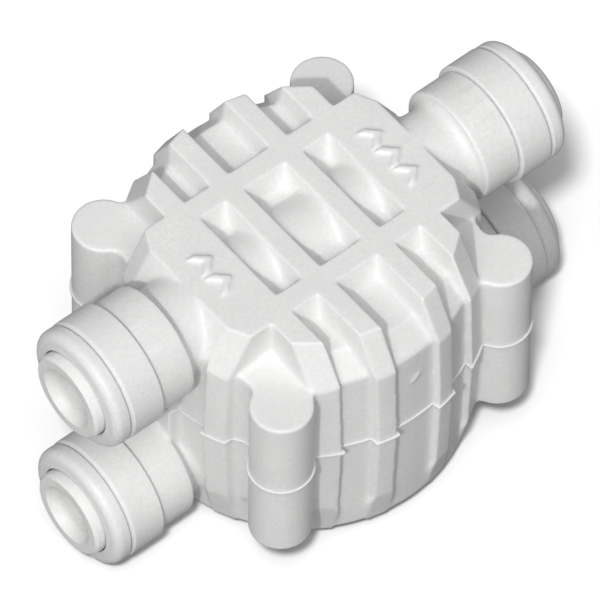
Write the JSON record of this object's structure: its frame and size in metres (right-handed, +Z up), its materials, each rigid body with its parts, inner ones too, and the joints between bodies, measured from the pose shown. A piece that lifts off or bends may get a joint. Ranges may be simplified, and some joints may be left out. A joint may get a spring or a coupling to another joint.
{
  "type": "four-port diaphragm shut-off valve",
  "caption": "Round ribbed two-layer water shut-off valve with a diaphragm-driven seat inside and paired push-in tube ports in line on opposite sides.",
  "frame": {"origin": "centre of the body, on the parting plane of the two housings and midway between the inlets and the outlets", "axes": "+X along the port axes, from the inlets to the outlets; +Z up, square to the parting plane, towards the housing with the raised chevrons; +Y completes the right-handed frame"},
  "size_m": [0.0706, 0.044, 0.04],
  "materials": {
    "housing": "satin moulded, natural white",
    "collar": "satin moulded, natural white",
    "cap": "satin moulded, natural white",
    "collet": "satin moulded, natural white",
    "plate": "moulded, off-white",
    "plunger": "moulded, blue",
    "seat": "moulded, smooth",
    "spacer": "moulded",
    "rubber": "moulded black rubber",
    "screw_steel": "stainless",
    "tooth_steel": "stainless, stamped"
  },
  "bodies": {
    "housing": {"upper_housing": "housing", "lower_housing": "housing", "centre_plate": "plate", "large_diaphragm": "rubber", "small_diaphragm": "rubber", "feed_seat": "seat", "housing_screws": "screw_steel", "port_collar_in_upper": "collar", "port_collar_out_upper": "collar", "port_collar_in_lower": "collar", "port_collar_out_lower": "collar", "end_cap_in_upper": "cap", "end_cap_out_upper": "cap", "end_cap_in_lower": "cap", "end_cap_out_lower": "cap", "tube_oring_in_upper": "rubber", "tube_oring_out_upper": "rubber", "tube_oring_in_lower": "rubber", "tube_oring_out_lower": "rubber", "spacer_ring_in_upper": "spacer", "spacer_ring_out_upper": "spacer", "spacer_ring_in_lower": "spacer", "spacer_ring_out_lower": "spacer"},
    "shuttle": {"plunger": "plunger", "pressure_disc": "plunger", "seat_pad": "rubber"},
    "release_in_upper": {"collet_in_upper": "collet", "collet_teeth_in_upper": "tooth_steel"},
    "release_out_upper": {"collet_out_upper": "collet", "collet_teeth_out_upper": "tooth_steel"},
    "release_in_lower": {"collet_in_lower": "collet", "collet_teeth_in_lower": "tooth_steel"},
    "release_out_lower": {"collet_out_lower": "collet", "collet_teeth_out_lower": "tooth_steel"}
  },
  "joints": [
    {"name": "shuttle_slide", "type": "slide", "parent": "housing", "child": "shuttle", "axis": [0, 0, -1], "range_m": [0, 0.0012], "stiffness_N_per_m": 500, "springref_m": -0.0004, "deforming": ["large_diaphragm", "small_diaphragm"]},
    {"name": "collet_push_in_upper", "type": "slide", "parent": "housing", "child": "release_in_upper", "axis": [1, 0, 0], "range_m": [0, 0.0011]},
    {"name": "collet_push_out_upper", "type": "slide", "parent": "housing", "child": "release_out_upper", "axis": [-1, 0, 0], "range_m": [0, 0.0011]},
    {"name": "collet_push_in_lower", "type": "slide", "parent": "housing", "child": "release_in_lower", "axis": [1, 0, 0], "range_m": [0, 0.0011]},
    {"name": "collet_push_out_lower", "type": "slide", "parent": "housing", "child": "release_out_lower", "axis": [-1, 0, 0], "range_m": [0, 0.0011]}
  ]
}
